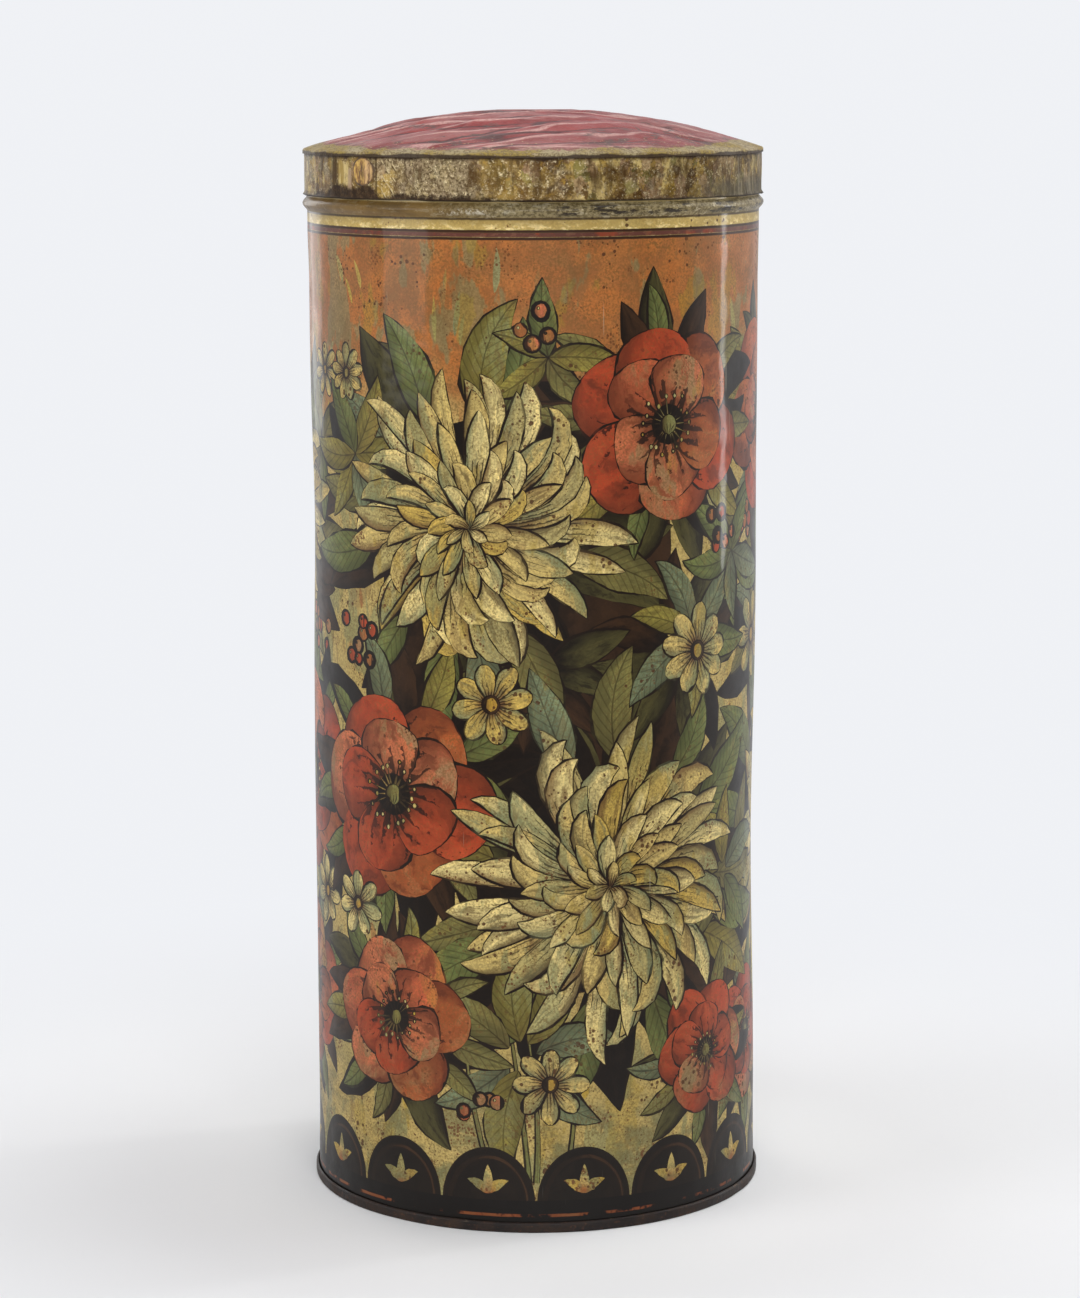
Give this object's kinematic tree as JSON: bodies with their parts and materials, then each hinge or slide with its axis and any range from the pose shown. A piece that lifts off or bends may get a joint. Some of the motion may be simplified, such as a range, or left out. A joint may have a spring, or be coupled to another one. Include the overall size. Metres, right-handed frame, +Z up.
{
  "type": "tin can",
  "caption": "Tall round tinplate can with a slip-on domed lid: a printed wall with a bead and a lock seam, a rolled-on base, and a lid skirt lapped and soldered under the dome.",
  "frame": {"origin": "centre of the can's foot, on the surface that it stands on", "axes": "+Z up the can's axis towards the lid, -Y towards the printed front, +Y towards the lock seam at the back"},
  "size_m": [0.1296, 0.1296, 0.3069],
  "materials": {
    "printed_tinplate": "printed in cream, red, green and dark brown under an aged gloss varnish",
    "dull_solder": "dull grey solder",
    "darkened_tinplate": "dark brown lacquer, worn and grimed",
    "red_lacquered_tinplate": "semi-gloss red lacquer, creased, worn to cream at the edge",
    "tarnished_tinplate": "tarnished gold-brown lacquer with cream flecks and dark stains",
    "rusted_solder": "rust-stained solder"
  },
  "bodies": {
    "can": {"body_wall": "printed_tinplate", "seam_solder": "dull_solder", "base_disc": "darkened_tinplate"},
    "lid": {"lid_dome": "red_lacquered_tinplate", "lid_skirt": "tarnished_tinplate", "lap_solder": "rusted_solder"}
  },
  "joints": [
    {"name": "lid_lift", "type": "slide", "parent": "can", "child": "lid", "axis": [0, 0, 1], "range_m": [0, 0.06]}
  ]
}
